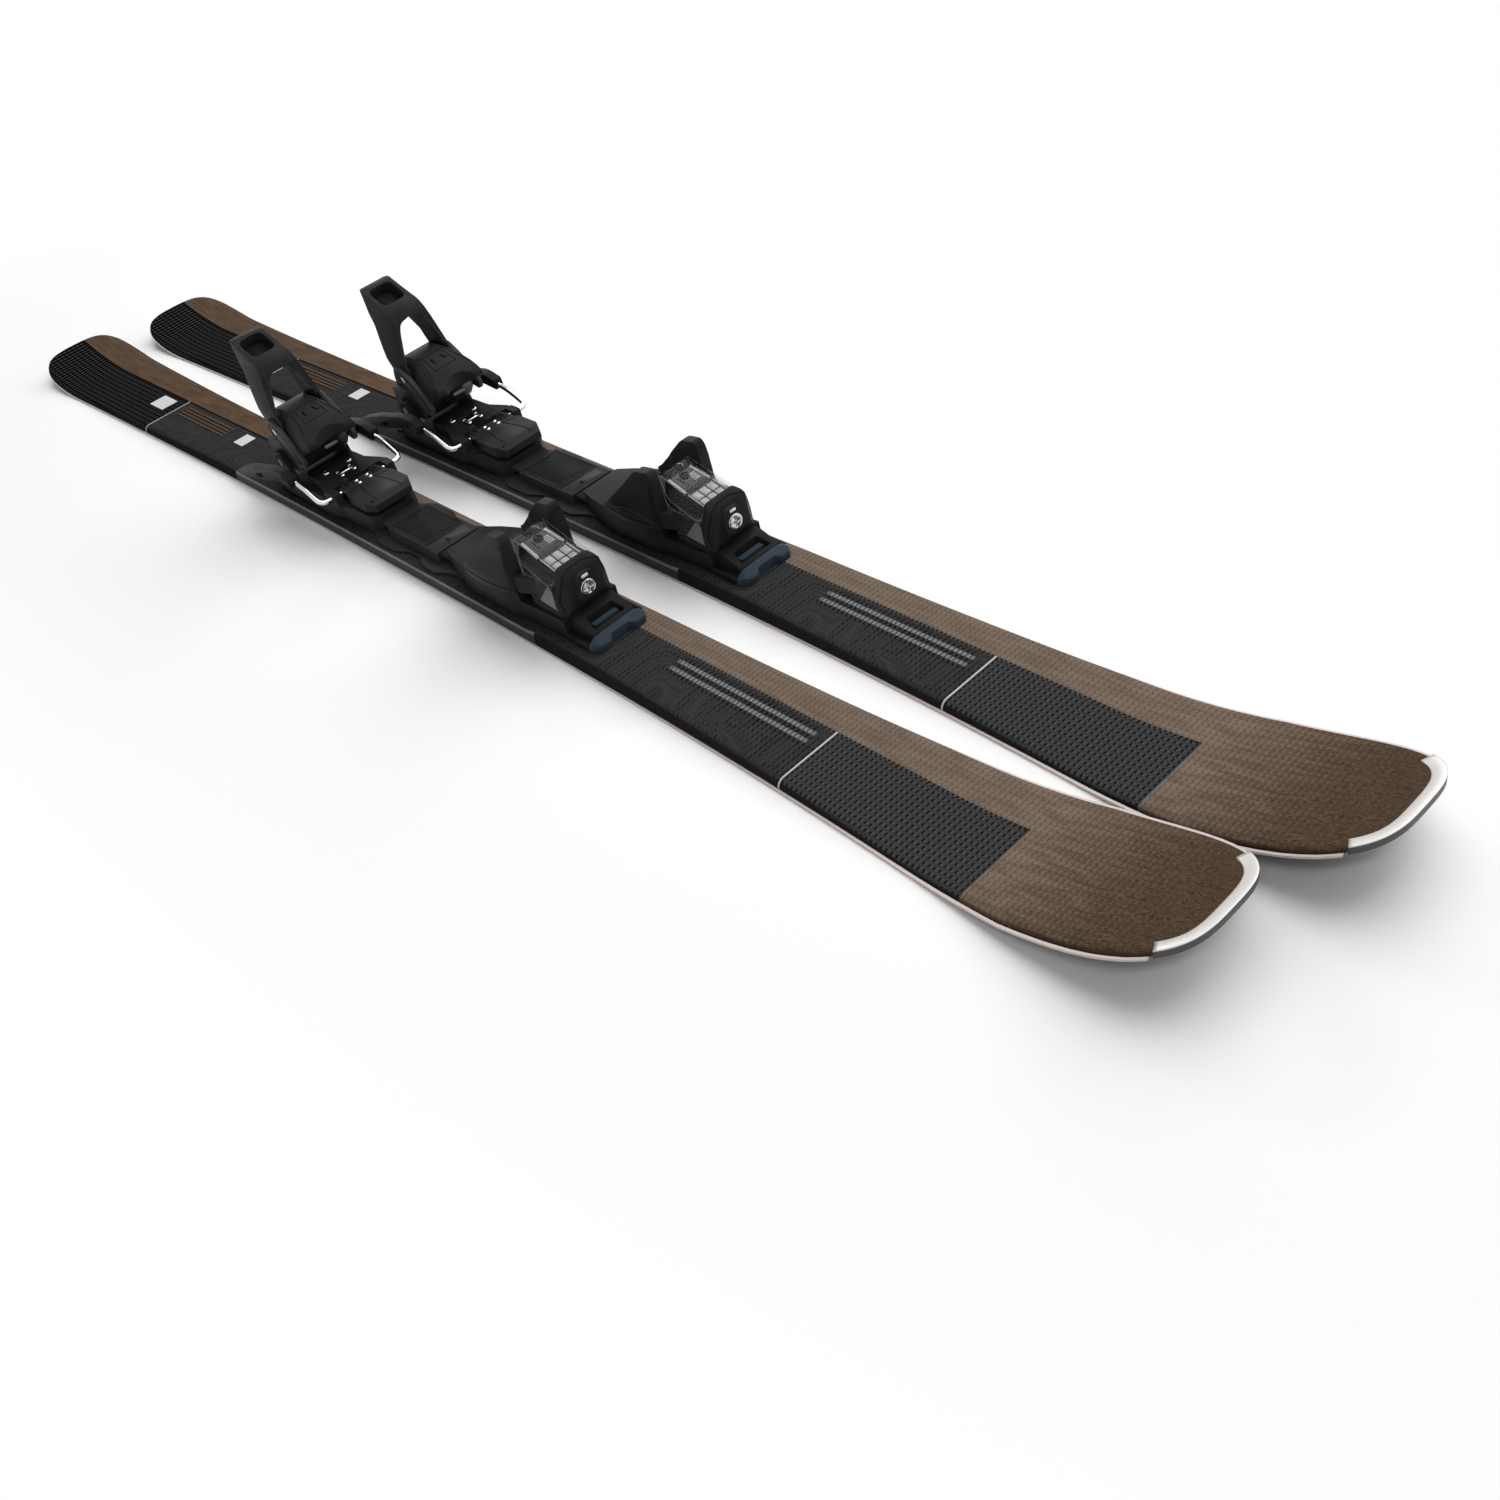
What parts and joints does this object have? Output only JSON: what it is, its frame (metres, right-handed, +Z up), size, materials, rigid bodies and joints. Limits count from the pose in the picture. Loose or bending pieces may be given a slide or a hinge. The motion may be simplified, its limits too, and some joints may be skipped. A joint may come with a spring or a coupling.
{
  "type": "pair of alpine skis with bindings",
  "caption": "Pair of sandwich-built alpine skis lying flat, each with a rail-mounted toe piece, a stepped-in heel piece and a ski brake.",
  "frame": {"origin": "on the floor, at the centre of the pair's outline", "axes": "+Y to the tips, +X to the right-hand ski, +Z up"},
  "size_m": [0.257, 1.794, 0.176],
  "materials": {
    "running_base": "sintered polyethylene",
    "steel_edges": "ground steel",
    "wood_core": "laminated strips",
    "sidewalls": "smooth",
    "top_sheet": "embossed satin",
    "tip_guard": "brushed",
    "rail": "fine grain",
    "rail_screws": "zinc plated",
    "toe_carriage": "fine grain",
    "toe_trim": "satin blue grey",
    "toe_housing": "fine grain",
    "toe_cover": "clear moulded plastic",
    "toe_outer_wing": "fine grain",
    "toe_inner_wing": "fine grain",
    "wing_pins": "ground",
    "toe_spring": "drawn wire",
    "toe_plunger": "plain",
    "toe_screw": "bright",
    "slide_plate": "low friction",
    "heel_carriage": "fine grain",
    "heel_housing": "fine grain",
    "heel_cheeks": "satin",
    "heel_lever": "fine grain",
    "heel_pins": "ground",
    "heel_spring": "drawn wire",
    "heel_screw": "plain",
    "brake_plate": "fine grain",
    "brake_wire": "bright",
    "brake_pad": "fine grain",
    "brake_tips": "fine grain"
  },
  "bodies": {
    "right_ski": {"right_running_base": "running_base", "right_steel_edges": "steel_edges", "right_wood_core": "wood_core", "right_sidewalls": "sidewalls", "right_top_sheet": "top_sheet", "right_tip_guard": "tip_guard", "right_rail": "rail", "right_rail_screws": "rail_screws"},
    "right_toe": {"right_toe_carriage": "toe_carriage", "right_toe_trim": "toe_trim", "right_toe_housing": "toe_housing", "right_toe_cover": "toe_cover", "right_wing_pins": "wing_pins", "right_toe_spring": "toe_spring"},
    "right_toe_outer_wing": {"right_toe_outer_wing": "toe_outer_wing"},
    "right_toe_inner_wing": {"right_toe_inner_wing": "toe_inner_wing"},
    "right_toe_plunger": {"right_toe_plunger": "toe_plunger"},
    "right_toe_screw": {"right_toe_screw": "toe_screw"},
    "right_slide_plate": {"right_slide_plate": "slide_plate"},
    "right_heel": {"right_heel_carriage": "heel_carriage", "right_brake_plate": "brake_plate"},
    "right_heel_jaw": {"right_heel_housing": "heel_housing", "right_heel_cheeks": "heel_cheeks", "right_heel_pins": "heel_pins", "right_heel_spring": "heel_spring"},
    "right_heel_lever": {"right_heel_lever": "heel_lever"},
    "right_heel_screw": {"right_heel_screw": "heel_screw"},
    "right_brake": {"right_brake_wire": "brake_wire", "right_brake_pad": "brake_pad", "right_brake_tips": "brake_tips"},
    "left_ski": {"left_running_base": "running_base", "left_steel_edges": "steel_edges", "left_wood_core": "wood_core", "left_sidewalls": "sidewalls", "left_top_sheet": "top_sheet", "left_tip_guard": "tip_guard", "left_rail": "rail", "left_rail_screws": "rail_screws"},
    "left_toe": {"left_toe_carriage": "toe_carriage", "left_toe_trim": "toe_trim", "left_toe_housing": "toe_housing", "left_toe_cover": "toe_cover", "left_wing_pins": "wing_pins", "left_toe_spring": "toe_spring"},
    "left_toe_outer_wing": {"left_toe_outer_wing": "toe_outer_wing"},
    "left_toe_inner_wing": {"left_toe_inner_wing": "toe_inner_wing"},
    "left_toe_plunger": {"left_toe_plunger": "toe_plunger"},
    "left_toe_screw": {"left_toe_screw": "toe_screw"},
    "left_slide_plate": {"left_slide_plate": "slide_plate"},
    "left_heel": {"left_heel_carriage": "heel_carriage", "left_brake_plate": "brake_plate"},
    "left_heel_jaw": {"left_heel_housing": "heel_housing", "left_heel_cheeks": "heel_cheeks", "left_heel_pins": "heel_pins", "left_heel_spring": "heel_spring"},
    "left_heel_lever": {"left_heel_lever": "heel_lever"},
    "left_heel_screw": {"left_heel_screw": "heel_screw"},
    "left_brake": {"left_brake_wire": "brake_wire", "left_brake_pad": "brake_pad", "left_brake_tips": "brake_tips"}
  },
  "joints": [
    {"name": "right_toe_position", "type": "slide", "parent": "right_ski", "child": "right_toe", "axis": [0, 1, 0], "range_m": [-0.008, 0.008]},
    {"name": "right_toe_outer_wing_swing", "type": "hinge", "parent": "right_toe", "child": "right_toe_outer_wing", "pos_m": [0.082, 0.1975, 0.047], "axis": [0, 0, 1], "range_deg": [0, 30], "stiffness_Nm_per_rad": 15},
    {"name": "right_toe_inner_wing_swing", "type": "hinge", "parent": "right_toe", "child": "right_toe_inner_wing", "pos_m": [0.048, 0.1975, 0.047], "axis": [0, 0, -1], "range_deg": [0, 30], "stiffness_Nm_per_rad": 15},
    {"name": "right_toe_plunger_push", "type": "slide", "parent": "right_toe", "child": "right_toe_plunger", "axis": [0, 1, 0], "range_m": [0, 0.003], "stiffness_N_per_m": 2000, "deforming": ["right_toe_spring"]},
    {"name": "right_toe_screw_turn", "type": "hinge", "parent": "right_toe", "child": "right_toe_screw", "pos_m": [0.065, 0.2405, 0.054], "axis": [0, 1, 0], "continuous": true},
    {"name": "right_slide_plate_shift", "type": "slide", "parent": "right_toe", "child": "right_slide_plate", "axis": [1, 0, 0], "range_m": [-0.006, 0.006], "stiffness_N_per_m": 600},
    {"name": "right_heel_position", "type": "slide", "parent": "right_ski", "child": "right_heel", "axis": [0, 1, 0], "range_m": [-0.012, 0.012]},
    {"name": "right_heel_opening", "type": "hinge", "parent": "right_heel", "child": "right_heel_jaw", "pos_m": [0.065, -0.2355, 0.056], "axis": [1, 0, 0], "range_deg": [0, 40], "stiffness_Nm_per_rad": 10},
    {"name": "right_heel_lever_press", "type": "hinge", "parent": "right_heel_jaw", "child": "right_heel_lever", "pos_m": [0.065, -0.2145, 0.092], "axis": [1, 0, 0], "range_deg": [0, 35], "stiffness_Nm_per_rad": 4},
    {"name": "right_heel_screw_turn", "type": "hinge", "parent": "right_heel_jaw", "child": "right_heel_screw", "pos_m": [0.065, -0.2515, 0.075], "axis": [0, -1, 0], "continuous": true},
    {"name": "right_brake_deploy", "type": "hinge", "parent": "right_heel", "child": "right_brake", "pos_m": [0.065, -0.1345, 0.044], "axis": [1, 0, 0], "range_deg": [0, 58]},
    {"name": "left_toe_position", "type": "slide", "parent": "left_ski", "child": "left_toe", "axis": [0, 1, 0], "range_m": [-0.008, 0.008]},
    {"name": "left_toe_outer_wing_swing", "type": "hinge", "parent": "left_toe", "child": "left_toe_outer_wing", "pos_m": [-0.048, 0.2415, 0.047], "axis": [0, 0, 1], "range_deg": [0, 30], "stiffness_Nm_per_rad": 15},
    {"name": "left_toe_inner_wing_swing", "type": "hinge", "parent": "left_toe", "child": "left_toe_inner_wing", "pos_m": [-0.082, 0.2415, 0.047], "axis": [0, 0, -1], "range_deg": [0, 30], "stiffness_Nm_per_rad": 15},
    {"name": "left_toe_plunger_push", "type": "slide", "parent": "left_toe", "child": "left_toe_plunger", "axis": [0, 1, 0], "range_m": [0, 0.003], "stiffness_N_per_m": 2000, "deforming": ["left_toe_spring"]},
    {"name": "left_toe_screw_turn", "type": "hinge", "parent": "left_toe", "child": "left_toe_screw", "pos_m": [-0.065, 0.2845, 0.054], "axis": [0, 1, 0], "continuous": true},
    {"name": "left_slide_plate_shift", "type": "slide", "parent": "left_toe", "child": "left_slide_plate", "axis": [1, 0, 0], "range_m": [-0.006, 0.006], "stiffness_N_per_m": 600},
    {"name": "left_heel_position", "type": "slide", "parent": "left_ski", "child": "left_heel", "axis": [0, 1, 0], "range_m": [-0.012, 0.012]},
    {"name": "left_heel_opening", "type": "hinge", "parent": "left_heel", "child": "left_heel_jaw", "pos_m": [-0.065, -0.1915, 0.056], "axis": [1, 0, 0], "range_deg": [0, 40], "stiffness_Nm_per_rad": 10},
    {"name": "left_heel_lever_press", "type": "hinge", "parent": "left_heel_jaw", "child": "left_heel_lever", "pos_m": [-0.065, -0.1705, 0.092], "axis": [1, 0, 0], "range_deg": [0, 35], "stiffness_Nm_per_rad": 4},
    {"name": "left_heel_screw_turn", "type": "hinge", "parent": "left_heel_jaw", "child": "left_heel_screw", "pos_m": [-0.065, -0.2075, 0.075], "axis": [0, -1, 0], "continuous": true},
    {"name": "left_brake_deploy", "type": "hinge", "parent": "left_heel", "child": "left_brake", "pos_m": [-0.065, -0.0905, 0.044], "axis": [1, 0, 0], "range_deg": [0, 58]},
    {"name": "left_ski_lift", "type": "slide", "parent": "right_ski", "child": "left_ski", "axis": [0, 0, 1], "range_m": [0, 0.25]}
  ]
}
